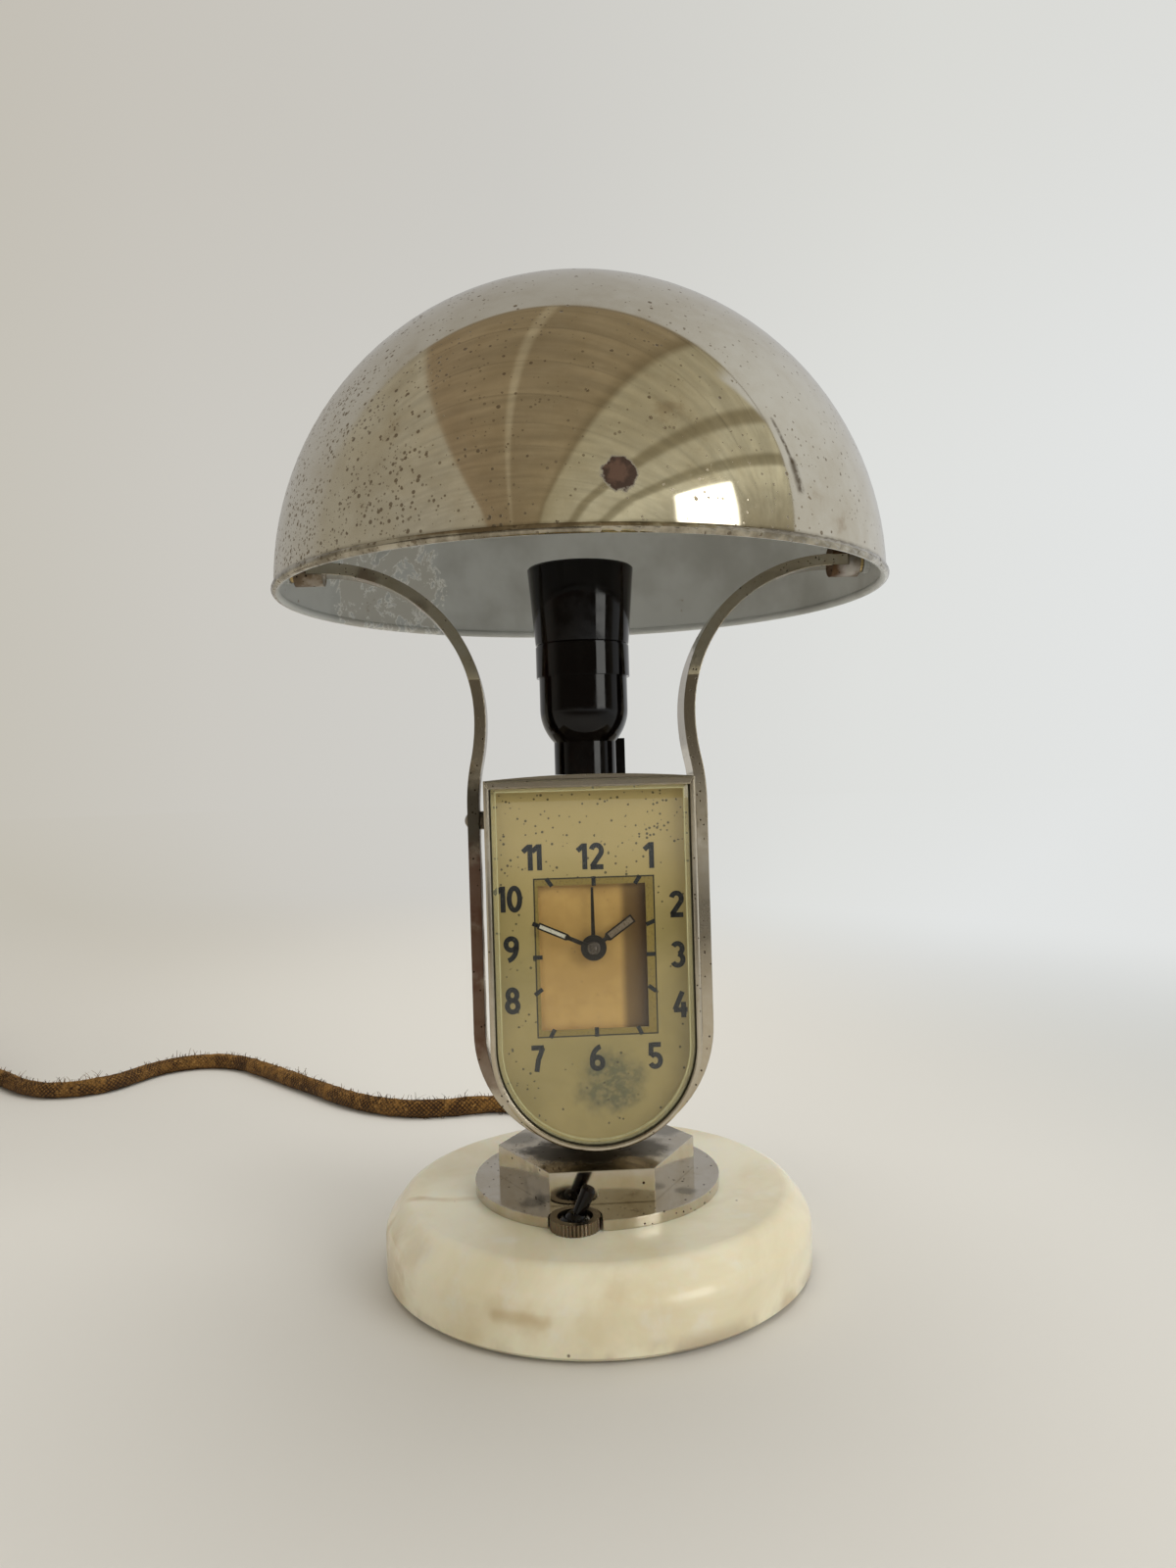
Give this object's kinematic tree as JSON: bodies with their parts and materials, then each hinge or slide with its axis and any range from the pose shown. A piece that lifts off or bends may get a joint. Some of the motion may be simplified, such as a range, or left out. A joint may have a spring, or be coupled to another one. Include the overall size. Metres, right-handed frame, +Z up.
{
  "type": "table clock lamp",
  "caption": "Table lamp with a built-in alarm clock: marble base, nickel strap that holds a D-shaped clock and a tilting dome shade, bakelite lampholder, braided cord.",
  "frame": {"origin": "on the table under the middle of the round base", "axes": "+Z up, -Y towards the reader of the dial, +X to the right of the dial"},
  "size_m": [0.5937, 0.5161, 0.3565],
  "materials": {
    "marble": "polished, ivory with honey-brown veins",
    "felt": "felt",
    "nickel": "old nickel plate, pitted",
    "nickel_dome": "old nickel plate outside, pale paint inside",
    "dark_nickel": "dull nickel on steel",
    "collar": "brown knurled brass",
    "brass": "plain brass",
    "steel": "plain steel",
    "blued_steel": "dark blued steel",
    "bakelite": "glossy brown-black bakelite",
    "porcelain": "glazed porcelain",
    "glass": "clear bevelled glass",
    "dial": "olive-gold lacquer with black figures",
    "tan_plate": "matt tan lacquer",
    "card": "dark card spacer",
    "braid": "brown braided cotton over rubber"
  },
  "bodies": {
    "stand": {"marble_base": "marble", "base_felt": "felt", "base_flange": "nickel", "hexagon_block": "nickel", "tie_tube": "brass", "tie_washer": "steel", "tube_nuts": "brass", "switch_body": "bakelite", "switch_collar": "collar", "strap_frame": "nickel", "strap_screws": "dark_nickel", "strap_spacers": "dark_nickel", "strap_nuts": "brass", "pivot_lugs": "dark_nickel", "pivot_screws": "dark_nickel", "pivot_washers": "brass", "clock_case": "nickel", "bezel": "nickel", "front_glass": "glass", "dial_spacer": "card", "dial": "dial", "centre_plate": "tan_plate", "front_plate": "brass", "back_plate": "brass", "pillar_screws": "steel", "spring_barrels": "brass", "back_cover": "nickel", "cover_screws": "steel", "holder_nipple": "brass", "holder_cap": "bakelite", "holder_insert": "porcelain", "contacts": "brass", "holder_ring": "bakelite", "screw_shell": "brass", "holder_skirt": "bakelite", "wire_block": "bakelite", "inner_lead": "braid", "cord_bush": "bakelite", "cord_run": "braid", "cord_coil": "braid", "plug_body": "bakelite", "plug_pins": "brass"},
    "shade": {"shade": "nickel_dome"},
    "switch_lever": {"switch_lever": "bakelite"},
    "minutes": {"centre_arbor": "steel", "cannon_pinion": "brass", "minute_hand": "blued_steel", "set_knob": "brass"},
    "minute_wheel": {"minute_wheel": "brass"},
    "hours": {"hour_wheel": "brass", "hour_hand": "blued_steel"},
    "alarm_setting": {"alarm_arbor": "steel", "alarm_knob": "brass"},
    "alarm_indicator": {"alarm_wheel": "brass", "alarm_hand": "blued_steel"},
    "time_winding": {"time_arbor": "steel", "time_key": "brass"},
    "ring_winding": {"ring_arbor": "steel", "ring_key": "brass"},
    "stop_button": {"stop_button": "brass"}
  },
  "joints": [
    {"name": "shade_tilt", "type": "hinge", "parent": "stand", "child": "shade", "pos_m": [0, 0, 0.2572], "axis": [1, 0, 0], "range_deg": [-65, 65]},
    {"name": "switch_toggle", "type": "hinge", "parent": "stand", "child": "switch_lever", "pos_m": [-0.01, -0.041, 0.0296], "axis": [0, 1, 0], "range_deg": [-50, 0]},
    {"name": "minute_turn", "type": "hinge", "parent": "stand", "child": "minutes", "pos_m": [0, 0, 0.1179], "axis": [0, 1, 0], "continuous": true},
    {"name": "minute_wheel_turn", "type": "hinge", "parent": "stand", "child": "minute_wheel", "pos_m": [0.00849, 0, 0.10941], "axis": [0, 1, 0], "continuous": true},
    {"name": "hour_turn", "type": "hinge", "parent": "stand", "child": "hours", "pos_m": [0, 0, 0.1179], "axis": [0, 1, 0], "continuous": true},
    {"name": "alarm_set", "type": "hinge", "parent": "stand", "child": "alarm_setting", "pos_m": [-0.00849, 0, 0.12639], "axis": [0, 1, 0], "continuous": true},
    {"name": "alarm_hand_turn", "type": "hinge", "parent": "stand", "child": "alarm_indicator", "pos_m": [0, 0, 0.1179], "axis": [0, 1, 0], "continuous": true},
    {"name": "time_winding_turn", "type": "hinge", "parent": "stand", "child": "time_winding", "pos_m": [0.017, 0, 0.097], "axis": [0, 1, 0], "continuous": true},
    {"name": "ring_winding_turn", "type": "hinge", "parent": "stand", "child": "ring_winding", "pos_m": [-0.017, 0, 0.097], "axis": [0, 1, 0], "continuous": true},
    {"name": "stop_press", "type": "slide", "parent": "stand", "child": "stop_button", "axis": [0, -1, 0], "range_m": [0, 0.003], "stiffness_N_per_m": 250, "springref_m": -0.002}
  ],
  "couplings": [
    {"joint": "minute_wheel_turn", "follows": "minute_turn", "ratio": -0.33333},
    {"joint": "hour_turn", "follows": "minute_turn", "ratio": 0.083333},
    {"joint": "alarm_hand_turn", "follows": "alarm_set", "ratio": -0.33333}
  ]
}
